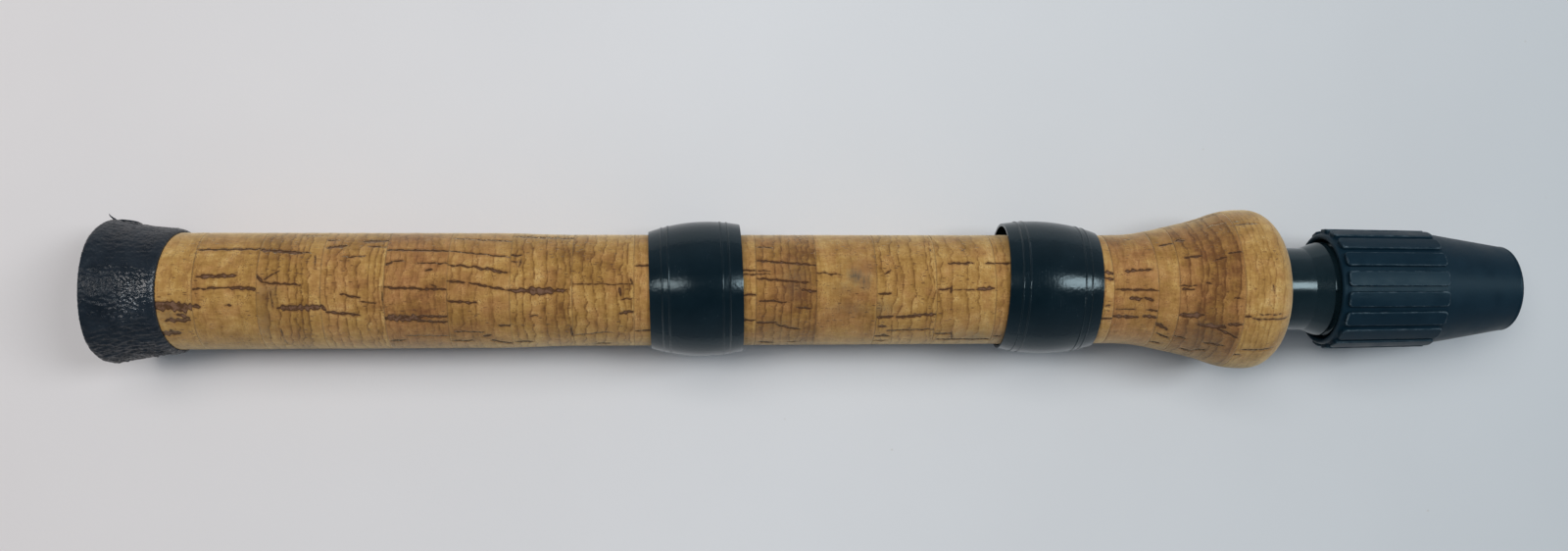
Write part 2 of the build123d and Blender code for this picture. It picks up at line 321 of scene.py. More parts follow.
def nut_material():
    """Satin blue-black moulded plastic with painted pale highlights along its rib edges, and fine moulding
    grain.
    """
    s = Shader("nut_plastic", 0.42)
    cloud = s.noise(210.0, 5.0, 0.6)
    colour = s.ramp(cloud, [(0.3, (0.0028, 0.0125, 0.0225)), (0.7, (0.0050, 0.0180, 0.0310))])
    # Painted highlight: pale lines along the rib edges, found with a bevel normal, kept near the rib tops,
    # patchy and stronger towards the rib ends
    rounded = s.add("ShaderNodeBevel", samples=6)
    rounded.inputs["Radius"].default_value = 0.0004
    facing = s.add("ShaderNodeVectorMath", operation="DOT_PRODUCT")
    s.link(rounded.outputs["Normal"], facing.inputs[0])
    s.link(s.add("ShaderNodeNewGeometry").outputs["True Normal"], facing.inputs[1])
    edge = s.range(facing.outputs["Value"], 0.93, 0.985, 1.0, 0.0)
    across = s.math("POWER", s.axis("Y"), 2.0)
    radius = s.math("SQRT", s.math("ADD", across, s.math("POWER", s.axis("Z"), 2.0)))
    rib_top = s.math("MULTIPLY_ADD", s.axis("X"), -RIB_TAPER, RIB_TOP_AT_ORIGIN)
    outside = s.range(s.math("SUBTRACT", radius, rib_top), -0.00045, -0.0002)
    from_middle = s.math("ABSOLUTE", s.math("SUBTRACT", s.axis("X"), RIB_MIDDLE))
    patchy = s.range(s.noise(560.0, 5.0, 0.8), 0.47, 0.63, 0.02, 0.8)
    highlight_strength = s.math("MULTIPLY", patchy, s.range(from_middle, 0.0088, 0.0112, 1.0, 2.6))
    edge_highlight = s.math("MULTIPLY", s.math("MULTIPLY", edge, outside), highlight_strength, clamp=True)
    colour = s.mix(s.math("MULTIPLY", edge_highlight, 0.9), colour, (0.26, 0.34, 0.39))
    streaks = s.noise(1.0, 4.0, 0.7, vector=s.scaled(260.0, 2300.0, 2300.0))
    rubbed = s.range(streaks, 0.62, 0.82, 0.0, 0.3)
    colour = s.mix(rubbed, colour, (0.03, 0.05, 0.065))
    s.set("Base Color", colour)
    s.surface.inputs["Specular IOR Level"].default_value = 0.2
    s.surface.inputs["Specular Tint"].default_value = (0.65, 0.92, 1.0, 1.0)
    s.set("Roughness", s.range(cloud, 0.3, 0.7, 0.34, 0.5))
    grain = s.noise(4200.0, 4.0, 0.65)
    s.bump(s.math("MULTIPLY_ADD", streaks, 0.5, grain), 0.00004, 0.6)
    return s.material


def collet_material():
    """Natural off-white moulded plastic, faintly yellowed, with patchy grime."""
    s = Shader("collet_plastic", 0.45)
    cloud = s.noise(300.0, 5.0, 0.6)
    colour = s.ramp(cloud, [(0.3, (0.52, 0.48, 0.38)), (0.7, (0.64, 0.61, 0.52))])
    grime = s.range(s.noise(900.0, 4.0, 0.7), 0.58, 0.75, 0.0, 0.4)
    colour = s.mix(grime, colour, (0.20, 0.17, 0.13))
    s.set("Base Color", colour)
    s.set("Roughness", s.range(cloud, 0.3, 0.7, 0.38, 0.52))
    s.surface.inputs["Subsurface Weight"].default_value = 0.05
    s.bump(s.noise(3000.0, 3.0, 0.6), 0.00003, 0.5)
    return s.material


def tube_material():
    """Drawn aluminium tube with lengthwise draw marks and dull oxide."""
    s = Shader("tube_metal", 0.35)
    s.surface.inputs["Metallic"].default_value = 1.0
    cloud = s.noise(200.0, 4.0, 0.6)
    s.set("Base Color", s.ramp(cloud, [(0.3, (0.48, 0.49, 0.50)), (0.7, (0.62, 0.63, 0.65))]))
    drawn = s.noise(1.0, 3.0, 0.7, vector=s.scaled(60.0, 4000.0, 4000.0))
    s.set("Roughness", s.range(drawn, 0.3, 0.7, 0.28, 0.45))
    s.bump(drawn, 0.00003, 0.5)
    return s.material


def floor_material():
    """Pale floor with a faint mottle, fibres and a few specks, and a painted falloff of light along X: warm
    to the left, cooler and darker to the right.
    """
    s = Shader("pale_floor", 0.7)
    cloud = s.noise(9.0, 5.0, 0.55)
    colour = s.ramp(cloud, [(0.3, (0.955, 0.955, 0.955)), (0.7, (1.0, 1.0, 1.0))])
    # Painted light falloff: the floor colour is warm towards -X, cooler in the middle, darker and bluer
    # towards +X
    along = s.range(s.math("MULTIPLY_ADD", s.noise(3.0, 2.0, 0.5), 0.06, s.axis("X")), -0.35, 0.09)
    painted_falloff = s.ramp(
        along,
        [(0.0, (0.725, 0.680, 0.670)), (0.5, (0.700, 0.712, 0.730)), (1.0, (0.530, 0.568, 0.595))],
    )
    colour = s.mix(1.0, painted_falloff, colour, "MULTIPLY")
    specks = s.range(s.cells(75.0), 0.012, 0.03, 0.35, 0.0)
    colour = s.mix(specks, colour, (0.42, 0.38, 0.33))
    s.set("Base Color", colour)
    s.bump(s.noise(1200.0, 4.0, 0.6), 0.00005, 0.35)
    return s.material


# ---------------------------------------------------------------- mesh helpers


def mesh_object(name, points, faces, material, body, replaced=()):
    """A new piece from points in metres and faces, riding on a body and standing for CAD nodes."""
    mesh = bpy.data.meshes.new(name)
    mesh.from_pydata(np.asarray(points).tolist(), [], faces)
    mesh.polygons.foreach_set("use_smooth", np.ones(len(mesh.polygons), bool))
    mesh.materials.append(material)
    mesh.update()
    piece = bpy.data.objects.new(name, mesh)
    bpy.context.scene.collection.objects.link(piece)
    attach(piece, body)
    if replaced:
        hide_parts(*replaced)
    return piece


def loop_faces(rows, columns, closed=False):
    """Quads that join rows of points round the handle, and back to the first row if closed."""
    faces = []
    for i in range(rows if closed else rows - 1):
        a, b = i * columns, ((i + 1) % rows) * columns
        for j in range(columns):
            k = (j + 1) % columns
            faces.append((a + j, a + k, b + k, b + j))
    return faces


def store(piece, name, values):
    """Keep one number per vertex for the material to read."""
    attribute = piece.data.attributes.new(name, "FLOAT", "POINT")
    attribute.data.foreach_set("value", np.ascontiguousarray(values, dtype=np.float32).ravel())


def node_outline(node, inner_radius):
    """(x, radius) of a round CAD node's outer wall, from its own vertices, sorted along the handle."""
    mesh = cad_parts[node].data
    points = np.zeros(len(mesh.vertices) * 3, np.float32)
    mesh.vertices.foreach_get("co", points)
    points = points.reshape(-1, 3).astype(float)
    radius = np.hypot(points[:, 1], points[:, 2])
    keep = radius > inner_radius
    found = {}
    for x, r in zip(np.round(points[keep, 0], 6), radius[keep]):
        found[x] = max(found.get(x, 0.0), r)
    return np.array(sorted(found.items()))


def ripple(rng, along, around, count, length, turns):
    """Smooth random field about 0, closed round the handle: waves of about this length along it in mm,
    with up to this many turns of them around it."""
    total = np.zeros(np.broadcast(along, around).shape)
    for _ in range(count):
        k = 2 * math.pi / length * rng.uniform(0.4, 1.6)
        m = rng.randint(0, turns)
        total += np.cos(along * k + around * m + rng.uniform(0, 2 * math.pi))
    return total / math.sqrt(count)


# ---------------------------------------------------------------- cork grip

# Torn pores on the side that lies upwards, ring by ring: start and end along the ring in mm,
# start and end round it in degrees, and half their width in mm.
PORES = {
    2: [
        (4.5, 12.8, -11, -14, 0.95),
        (7, 12, -27, -27, 0.45),
        (9.5, 12, -21, -24, 0.4),
        (5, 9.5, -43, -42, 0.7),
    ],
    3: [
        (0.2, 12.8, 46, 47, 0.24),
        (0.9, 8.8, 16, 17, 0.4),
        (0.2, 7.5, 4, 5.5, 0.2),
        (7.5, 12.8, 5.5, 4, 0.36),
        (0, 1.6, -12, -13, 0.45),
        (6.6, 7.8, -12, -12, 0.3),
    ],
    4: [
        (0, 8.5, 46, 41.5, 0.42),
        (8, 10.5, 43, 41.5, 0.16),
        (0, 1.3, 18, 10, 0.3),
        (1.3, 9, 10, 8, 0.2),
        (1.5, 4.5, 13, 22, 0.16),
        (2.8, 3.3, 3, -14, 0.14),
        (4.3, 12.8, -14.5, -14, 0.58),
        (11.2, 11.5, 40, 24, 0.12),
        (4.2, 4.5, -38, -64, 0.12),
        (7, 12.3, 72, 72, 0.2),
    ],
    5: [
        (0, 2.8, 61, 62, 0.28),
        (0.6, 4.6, 49, 52, 0.38),
        (7.5, 12.6, 59, 60.5, 0.52),
        (8.8, 12.6, 51, 50, 0.2),
        (4, 8.5, 37, 37.5, 0.15),
        (4, 8, -1, -4.5, 0.22),
        (8, 11.2, -8.5, -10, 0.14),
        (0, 1, -12, -17, 0.45),
        (1, 7.8, -18.5, -22, 0.28),
        (12.3, 12.6, 6, -15, 0.14),
    ],
    6: [
        (0, 12.8, 46, 44.5, 0.26),
        (0.2, 1.4, 28, 31, 0.38),
        (1.2, 4, 32, 32, 0.2),
        (0, 12.8, 5.3, 3, 0.24),
        (6.5, 12.8, 30, 29.5, 0.17),
        (8.2, 9.8, 22.5, 22.5, 0.24),
        (9.3, 10.8, 8, 6, 0.15),
        (0, 7, -25, -26, 0.72),
        (6.5, 12.8, -23.5, -24, 0.28),
        (6.5, 12.8, -29, -30, 0.26),
        (0.5, 3.4, -56, -55, 0.28),
        (3.7, 12.8, -47.5, -48.5, 0.1),
    ],
    7: [
        (0.6, 12.8, 65, 59.5, 0.2),
        (0, 12.8, 44.5, 36.5, 0.17),
        (0, 5.2, 28, 25.5, 0.22),
        (5.2, 12.2, 26, 19.5, 0.3),
        (0, 3.8, 11.3, 10, 0.24),
        (4.5, 12.8, 9.5, 2, 0.23),
        (0, 6, -8, -10, 0.24),
        (10.2, 12.8, -34, -35, 0.25),
        (0.8, 7.2, -42, -43, 0.13),
        (6.8, 8.6, -49, -47.5, 0.38),
        (0.2, 4.8, -56.5, -57, 0.24),
        (8.4, 12.8, -56, -64, 0.32),
    ],
    8: [
        (0.5, 12.8, 71, 70, 0.42),
        (0, 2.3, 39, 39, 0.28),
        (0.2, 2, 32, 31, 0.12),
        (1.9, 2.2, 26, 34, 0.22),
        (0, 4, 2, 2, 0.42),
        (3.5, 9, 1.5, 1.5, 0.78),
        (8.5, 11.6, 1.5, 2.5, 0.38),
        (4, 5.6, -23.5, -24, 0.18),
        (0.8, 4.2, -60, -60.5, 0.34),
        (12.3, 12.5, -36, -52, 0.22),
    ],
    9: [
        (0, 12.8, 8.5, 8, 0.1),
        (9.8, 10, 4.5, -3.5, 0.34),
        (10.1, 12.4, -7, -6.5, 0.15),
        (9.8, 12.6, -22, -19.5, 0.36),
        (0.2, 8, -50, -45, 0.1),
        (12, 12.5, 14, 9, 0.22),
        (4.6, 7.8, -69, -69, 0.38),
    ],
    10: [(0.2, 6, 28, 27, 0.2), (0.2, 7, -44, -42, 0.22)],
    11: [
        (6, 12.8, 22.5, 22, 0.18),
        (7, 12.8, 18.5, 18, 0.15),
        (5, 12.8, -2, -3, 0.22),
        (4, 12.8, -29, -30.5, 0.25),
    ],
    12: [
        (0.2, 12.8, 33.5, 28, 0.26),
        (0.3, 3.8, 52.5, 51, 0.18),
        (0, 3, 22, 21.5, 0.12),
        (0, 3.2, 18.5, 18.5, 0.12),
        (0.2, 11.4, 14, 9, 0.22),
        (9.5, 12.8, 2, 0.5, 0.28),
        (0.6, 6.4, -9, -10, 0.2),
        (8.4, 11.6, -15.5, -17.5, 0.22),
        (0, 4.5, -33.5, -33, 0.26),
        (4.2, 9.5, -36, -43, 0.26),
        (0.7, 4, -67, -69, 0.5),
        (7.2, 9.2, -66, -66, 0.28),
    ],
    13: [(0, 5.3, 20, 17.5, 0.15), (12, 12.8, 40, 34, 0.15)],
    14: [
        (1.8, 3, 18.5, 22, 0.24),
        (0.2, 3, -2, -1.5, 0.27),
        (0, 3.6, -27.5, -26.5, 0.34),
        (4.2, 12.8, -27.5, -23.5, 0.33),
        (0.6, 2.2, -39, -39, 0.38),
        (2.6, 12.8, -45, -43, 0.15),
        (0.3, 3.4, -54, -54, 0.45),
        (0.3, 3.2, -64.5, -64, 0.28),
        (11.8, 12, 49, 45, 0.15),
    ],
    15: [
        (0.2, 3, 2, 3, 0.2),
        (2.9, 3.2, -1, 6, 0.26),
        (3.5, 8.2, 1.8, 2, 0.12),
        (8.5, 12.2, 2.5, 3, 0.38),
        (2.6, 8, 30, 30.5, 0.24),
        (10.5, 12.8, 30, 30, 0.22),
        (6, 6.3, 46, 47, 0.22),
        (0.3, 4, -50.5, -50, 0.3),
        (3.8, 4.4, -46, -62, 0.18),
        (1, 12.8, -62, -62, 0.28),
    ],
    16: [(0, 3.8, 30.5, 30, 0.22), (0.4, 2.2, -55, -55, 0.28)],
    17: [
        (10.8, 12.6, 20, 19, 0.48),
        (10.8, 12.6, 14, 13, 0.38),
        (11, 12, -14.5, -14.5, 0.15),
        (10, 12.8, -29.5, -30, 0.22),
    ],
    18: [
        (2.5, 5.2, 21, 21.5, 0.36),
        (5.2, 8.4, 21.5, 22, 0.28),
        (0.3, 9.6, 2, 1, 0.21),
        (3.4, 6, -7, -7.5, 0.42),
        (6.5, 8.4, -6.5, -9, 0.36),
        (0.5, 5, -19, -19, 0.12),
        (7, 9.6, -19, -20, 0.24),
        (0, 5.6, -27, -28, 0.36),
        (6.5, 9.6, -26.5, -27, 0.36),
        (4.3, 5.8, 67, 67, 0.26),
    ],
    19: [
        (1.2, 4.3, 49.5, 49, 0.25),
        (0, 2.7, -33, -40, 0.46),
        (0.8, 3.5, -46, -51, 0.28),
        (0.2, 2.6, -62, -62.5, 0.32),
    ],
    20: [
        (0.4, 2.5, 52, 51, 0.42),
        (1.4, 5, 31.5, 31, 0.3),
        (7.4, 9.8, 26.5, 27, 0.22),
        (10.2, 13, 30, 30, 0.22),
        (5.1, 6.4, 7, 7, 0.25),
        (0, 3.4, 5, 5, 0.15),
        (0.4, 2.8, 2, 2, 0.3),
        (10.6, 12.4, -5, -4.5, 0.18),
        (0.3, 5, -22, -20.5, 0.55),
        (4.2, 9.7, -30, -28.5, 0.52),
        (9.7, 12.8, -25.5, -24.5, 0.34),
        (8, 12.4, -31, -36, 0.3),
        (0, 2.6, -46, -47, 0.2),
        (6.5, 10.4, -48, -47, 0.34),
        (2.4, 5, -64, -65, 0.36),
        (5.2, 7.4, -62, -57, 0.3),
        (8, 12, 63, 62, 0.16),
    ],
    21: [
        (0.2, 5.2, 56, 55.5, 0.2),
        (0.5, 1.5, 60, 60, 0.3),
        (0, 1.5, -18, -18, 0.28),
        (1.5, 10, -19, -20, 0.16),
        (3, 8, -16, -16, 0.12),
        (1, 8, -47, -45, 0.2),
        (0, 1.5, -53.5, -53.5, 0.24),
        (5.6, 5.8, 5, 0, 0.14),
    ],
}
VISIBLE_SIDE_DEG = 78  # the pores above lie within this angle of the top; the rest are drawn at random

# For each ring from the butt: how light it is, how pink rather than yellow, how strongly its lines show
RING_LOOKS = [
    (0.5, 0.3, 0.4),
    (0.66, 0.1, 0.3),
    (0.5, 0.15, 0.25),
    (0.56, 0.2, 0.9),
    (0.62, 0.3, 0.8),
    (0.36, 0.7, 0.45),
    (0.48, 0.4, 0.55),
    (0.56, 0.2, 0.85),
    (0.56, 0.15, 0.85),
    (0.5, 0.3, 0.45),
    (0.56, 0.3, 0.5),
    (0.34, 0.4, 0.8),
    (0.5, 0.35, 0.25),
    (0.62, 0.1, 0.75),
    (0.58, 0.15, 0.62),
    (0.54, 0.3, 0.6),
    (0.6, 0.3, 0.5),
    (0.4, 0.6, 0.25),
    (0.36, 0.3, 0.08),
    (0.26, 0.5, 0.85),
    (0.62, 0.1, 0.45),
]

# Growth lines that stand out: ring, then places along it in mm
GROWTH_LINES = {
    4: [2.2, 4.2, 8.9],
    5: [1.6, 3.4, 5.3, 7.6, 9.8, 12.1],
    6: [2.4, 6.1, 9.3],
    7: [3.2, 6.2, 9.4],
    8: [2.8, 4.5, 7.3, 9.5, 11.0],
    9: [2.8, 4.8, 6.8, 9.5, 12.1],
    12: [7.2, 9.0, 11.2],
    14: [3.8, 5.3, 7.8, 12.0],
    20: [2.2, 5.7, 9.3, 12.2],
    21: [3.3, 5.7, 8.4],
}

# Grey handling smudges: ring, place along it in mm, angle in degrees, size along and round in mm, strength
SMUDGES = [
    (2, 8, -20, 4.5, 2.5, 0.4),
    (4, 2, 0, 3.0, 3.0, 0.35),
    (4, 1, -30, 2.0, 4.0, 0.35),
    (12, 8, 14, 3.0, 4.5, 0.4),
    (12, 5, -40, 4.0, 3.0, 0.35),
    (13, 8.4, 17, 2.0, 2.2, 0.85),
    (13, 10.0, 11, 1.7, 1.9, 0.7),
    (13, 9, 20, 4.0, 3.6, 0.35),
    (13, 5.5, 4, 3.4, 1.6, 0.3),
    (13, 7, -18, 4.4, 1.8, 0.4),
    (14, 1, -17, 3.0, 2.0, 0.4),
    (16, 1, -56, 4.0, 3.0, 0.5),
    (15, 9, -58, 4.5, 3.0, 0.6),
    (20, 6, -42, 6.0, 4.0, 0.4),
]

GRIP_COLUMNS = 480
CORK_ROW_MM = 0.27
PORE_MM = 0.2  # how deep a pore is
PORE_BANK_MM = 0.16  # how far its sides take to reach that depth
WEAR_MM = 0.012  # how uneven the surface is, and how far one ring may stand below the next
SMUDGE_RADIUS_MM = 12.0  # grip radius that turns a smudge's angle into a length
NO_PORE = -0.6  # mm inside a pore's edge, stored wherever no pore is near
NO_LINE = 5.0  # mm to a growth line, stored wherever none is near
CORK_BORE = 0.0068
FRONT_BORE = 0.00912  # where the chuck body passes through the last ring
OUTER_FROM = 0.0095  # every ring's outer wall is further out than this, its bore nearer in


def hidden_pores(rng, length):
    """Random pores for the side of a ring that faces away."""
    pores = []
    for _ in range(rng.randint(5, 9)):
        start = rng.choice([0.0, rng.uniform(0, length * 0.7)])
        end = min(start + rng.uniform(1.5, length), length + 0.1)
        angle = rng.uniform(VISIBLE_SIDE_DEG + 4, 356 - VISIBLE_SIDE_DEG)
        end_angle = angle + rng.uniform(-5, 5)
        pores.append((start, end, angle, end_angle, rng.choice([0.12, 0.18, 0.22, 0.3, 0.5])))
    return pores


def pore_depth(rng, pores, along, around, radius):
    """Mm inside the nearest pore's edge, negative outside, at mm along the ring and radians around it."""
    inside = np.full(np.broadcast(along, around).shape, NO_PORE)
    for start, end, first, last, half_width in pores:
        middle = math.radians((first + last) / 2)
        turned = (around - middle + math.pi) % (2 * math.pi) - math.pi
        half_turn = math.radians(last - first) / 2
        step_x, step_y = end - start, 2 * half_turn * radius
        arc = turned * radius + half_turn * radius
        arc = arc + 0.09 * ripple(rng, along, around, 5, 2.6, 6)
        share = ((along - start) * step_x + arc * step_y) / (step_x**2 + step_y**2)
        share = np.clip(share, 0, 1)
        away = np.hypot(along - start - share * step_x, arc - share * step_y)
        taper = np.clip(np.minimum(share, 1 - share) * np.hypot(step_x, step_y) / 1.2, 0, 1) ** 0.5
        width = half_width * (0.35 + 0.65 * taper) * (1 + 0.3 * ripple(rng, along, around, 6, 1.6, 24))
        inside = np.maximum(inside, np.minimum(width - away, 0.6))
    return inside


def growth_lines(rng, number, length, along, around):
    """Distance in mm to the nearest growth line, and the darkening that leads up to one."""
    places = list(GROWTH_LINES.get(number, []))
    place = rng.uniform(0.4, 1.6)
    while place < length:
        if all(abs(place - other) > 1.0 for other in places):
            places.append(place)
        place += rng.choice([0.8, 1.5, 2.4, 3.4])
    bend = 0.45 * ripple(rng, 0 * along, around, 6, 1.0, 5)
    scallops = -0.34 * np.abs(ripple(rng, along, around, 5, 9.0, 12))
    gap = np.full(np.broadcast(along, around).shape, NO_LINE)
    fade = np.zeros(gap.shape)
    for place in places:
        own = 0.16 * ripple(rng, 0 * along, around, 6, 1.0, 34)
        away = along - (place + bend + scallops + own)
        gap = np.minimum(gap, np.abs(away))
        fade = np.maximum(fade, np.where(away < 0.1, np.exp(np.minimum(away, 0) / 0.7), 0))
    return gap, fade


def cork_ring(number, material):
    """One cork ring with its pores carved into the surface, as a closed mesh."""
    name = f"cork_ring_{number:02d}"
    rng = random.Random(SEED * 100 + number)
    last = number == CORK_RINGS
    outline = node_outline(name, CORK_BORE if last else OUTER_FROM)
    if last:
        outline = outline[outline[:, 1] > outline[-1, 1] - 1e-6]
    travel = np.r_[0, np.cumsum(np.hypot(*np.diff(outline, axis=0).T))]
    rows = int(travel[-1] / (CORK_ROW_MM * MM)) + 2
    even = np.linspace(0, travel[-1], rows)
    x = np.interp(even, travel, outline[:, 0])
    r = np.interp(even, travel, outline[:, 1])
    lean = np.arctan2(np.gradient(r), np.gradient(x))

    along = ((x - x[0]) / MM)[:, None]
    around = np.linspace(0, 2 * math.pi, GRIP_COLUMNS, endpoint=False)[None]
    length = (x[-1] - x[0]) / MM
    pores = PORES.get(number, []) + hidden_pores(rng, length)
    pore = pore_depth(rng, pores, along, around, r[:, None] / MM)
    gap, fade = growth_lines(rng, number, length, along, around)

    depth = PORE_MM * np.clip(pore / PORE_BANK_MM + 0.4, 0, 1)
    depth = depth + WEAR_MM * ripple(rng, along, around, 9, 5.0, 8)
    from_end = np.minimum(even, travel[-1] - even) / MM
    depth = depth + (WEAR_MM * np.exp(-((from_end / 0.2) ** 2)))[:, None] + WEAR_MM * rng.random()
    patchy = np.clip(0.45 + 0.4 * ripple(rng, 0 * along, around, 6, 1.0, 9), 0, 1)
    seam = np.exp(-((from_end / 0.13) ** 2))[:, None] * patchy
    out = r[:, None] - depth * MM * np.cos(lean)[:, None]
    px = x[:, None] + depth * MM * np.sin(lean)[:, None]
    px[0], px[-1] = x[0], x[-1]

    outer = np.stack([np.broadcast_to(px, out.shape), out * np.sin(around), out * np.cos(around)], -1)
    bore = FRONT_BORE if last else CORK_BORE
    circle = np.stack([0 * around[0], bore * np.sin(around[0]), bore * np.cos(around[0])], -1)
    inner = [circle + (end_x, 0, 0) for end_x in (x[-1], x[0])]
    points = np.concatenate([outer.reshape(-1, 3), *inner])
    faces = loop_faces(rows + 2, GRIP_COLUMNS, closed=True)
    piece = mesh_object(f"cork_{number:02d}", points, faces, material, "grip", [name])
    smooth = np.ones(len(faces), bool)
    smooth[(rows - 1) * GRIP_COLUMNS :] = False
    piece.data.polygons.foreach_set("use_smooth", smooth)

    grime = np.zeros(out.shape)
    for ring, place, angle, size, size_round, strength in SMUDGES:
        if ring == number:
            turned = (around - math.radians(angle) + math.pi) % (2 * math.pi) - math.pi
            away = np.hypot((along - place) / size, turned * SMUDGE_RADIUS_MM / size_round)
            grime = np.maximum(grime, strength * np.exp(-(away**2)))
    fields = {"line_fade": (fade, 0), "grime": (grime, 0), "seam": (seam, 0)}
    fields.update({"pore": (pore, NO_PORE), "line_gap": (gap, NO_LINE)})
    for field, (values, in_bore) in fields.items():
        store(piece, field, np.r_[values.ravel(), np.full(2 * GRIP_COLUMNS, in_bore)])
    for look, value in zip(("tone", "warmth", "line_strength"), RING_LOOKS[number - 1]):
        store(piece, look, np.full(len(points), value))


# ---------------------------------------------------------------- butt cap

CAP_COLUMNS = 420
CAP_TILT = math.radians(8.8)  # the cap sits crooked: its upper side is further back
CAP_OUTLINE = [  # distance from the butt end and radius, in mm, from the middle of the end to the lip
    (1.15, 0.0),
    (1.1, 4.0),
    (1.0, 8.0),
    (0.95, 12.0),
    (1.05, 13.6),
    (1.4, 14.5),
    (2.0, 14.95),
    (2.8, 14.9),
    (4.2, 14.6),
    (6.5, 14.15),
    (9.0, 13.75),
    (11.5, 13.45),
    (13.6, 13.25),
    (14.9, 13.1),
    (15.6, 12.85),
    (15.95, 12.5),
    (15.9, 12.2),
]
CAP_MEAN_RADIUS = 14.0  # mm
CAP_HOLD = [(13.0, 12.16), (5.0, 12.16), (4.6, 0.0)]  # the hidden inside, in mm, against the cork
CAP_LEAST_RADIUS = 12.14  # mm, so that no crease cuts into the cork
CAP_LIP_FROM = 14.5  # mm from the butt end
CAP_POLE_MM = 0.02  # radius of the tiny faces that close the cap at the axis
CREASE_MM = 0.26


def smooth_path(points, step):
    """Evenly spaced points along a rounded line through a few (distance, radius) points."""
    points = np.array(points, float)
    travel = np.r_[0, np.cumsum(np.hypot(*np.diff(points, axis=0).T))]
    slope = np.gradient(points, travel, axis=0)
    even = np.linspace(0, travel[-1], max(2, int(travel[-1] / step) + 1))
    k = np.clip(np.searchsorted(travel, even, side="right") - 1, 0, len(points) - 2)
    span = (travel[k + 1] - travel[k])[:, None]
    t = ((even - travel[k]) / span[:, 0])[:, None]
    a, b = points[k], points[k + 1]
    m, n = slope[k] * span, slope[k + 1] * span
    from_points = (2 * t**3 - 3 * t**2 + 1) * a + (3 * t**2 - 2 * t**3) * b
    return from_points + (t**3 - 2 * t**2 + t) * m + (t**3 - t**2) * n


def crease_height(distance, angle, side):
    """Height of the cap's leathery creases: finely crazed on top, long folds on the -Y side."""
    p = Vector((distance, CAP_MEAN_RADIUS * math.sin(angle), CAP_MEAN_RADIUS * math.cos(angle)))
    warped = p + noise.noise_vector(p * 0.4) * 1.2
    crazed = math.exp(-(((distance - 10.5) / 3.0) ** 2) - (math.sin((angle + 0.1) / 2) / 0.18) ** 2)
    folded = max(0.0, -math.sin(angle + 0.25)) ** 0.7
    cells = noise.voronoi(warped * 1.15)[0]
    cracks = 1 - min(1.0, (cells[1] - cells[0]) / 0.3)
    folds = noise.fractal(Vector((p.x * 0.35 + p.y * 0.3, p.y * 1.3 - p.x * 0.25, p.z * 1.3)), 0.7, 2.1, 4)
    coarse = noise.fractal(p * 0.5, 0.6, 2.0, 3)
    fine = noise.fractal(p * 2.6, 0.7, 2.0, 3)
    height = (0.35 + 2.0 * crazed) * (0.35 * coarse - 0.6 * cracks + 0.3)
    return side * (height + (0.35 + 1.3 * folded) * folds * 0.8) + (0.3 + 0.3 * crazed) * fine


def butt_cap(material):
    """The rubber cap: creased, a little crooked on the cork, with a rolled lip."""
    outside = smooth_path(CAP_OUTLINE, 0.22)
    path = np.concatenate([outside, np.array(CAP_HOLD)])
    path[0, 1] = path[-1, 1] = CAP_POLE_MM
    rows = len(path)
    around = np.linspace(0, 2 * math.pi, CAP_COLUMNS, endpoint=False)
    tangent = np.gradient(path, axis=0)
    tangent /= np.linalg.norm(tangent, axis=1)[:, None]
    points = np.zeros((rows, CAP_COLUMNS, 3))
    crease = np.zeros((rows, CAP_COLUMNS))
    for i, (distance, radius) in enumerate(path):
        exposed = i < len(outside)
        side = min(1.0, max(0.25, (distance - 1.0) / 2.5)) if exposed else 0.0
        for j, angle in enumerate(around):
            height = crease_height(distance, angle, side) if exposed else 0.0
            crease[i, j] = 0.5 + 0.5 * height
            push = CREASE_MM * height
            if exposed and distance > CAP_LIP_FROM:
                push *= 0.6
            d = distance - push * tangent[i, 1]
            r = max(radius + push * tangent[i, 0], 0.0 if radius < 1 else CAP_LEAST_RADIUS)
            d -= math.tan(CAP_TILT) * r * math.cos(angle)
            d = max(d, 0.0)
            points[i, j] = (BUTT_X + d * MM, r * math.sin(angle) * MM, r * math.cos(angle) * MM)
    faces = loop_faces(rows, CAP_COLUMNS)
    faces.append(tuple(range(CAP_COLUMNS)))
    last = (rows - 1) * CAP_COLUMNS
    faces.append(tuple(last + j for j in reversed(range(CAP_COLUMNS))))
    faces = [tuple(reversed(f)) for f in faces]
    points = points.reshape(-1, 3)
    piece = mesh_object("butt_cap_rubber", points, faces, material, "grip", ["butt_cap"])
    store(piece, "crease", crease)


# The torn flash in mm: distance from the butt end, distance from the axis towards +Y, half thickness
TORN_TONGUE = [
    (2.3, 14.6, 0.3),
    (2.0, 15.0, 0.28),
    (1.6, 15.35, 0.2),
    (1.15, 15.6, 0.15),
    (0.95, 15.95, 0.1),
    (0.9, 16.2, 0.03),
]
TORN_STRIP = [
    (2.4, 14.8, 0.1),
    (3.4, 14.9, 0.2),
    (4.6, 14.78, 0.16),
    (5.7, 14.62, 0.22),
    (6.8, 14.4, 0.18),
    (7.6, 14.1, 0.05),
]
FLASH_SIDES = 8


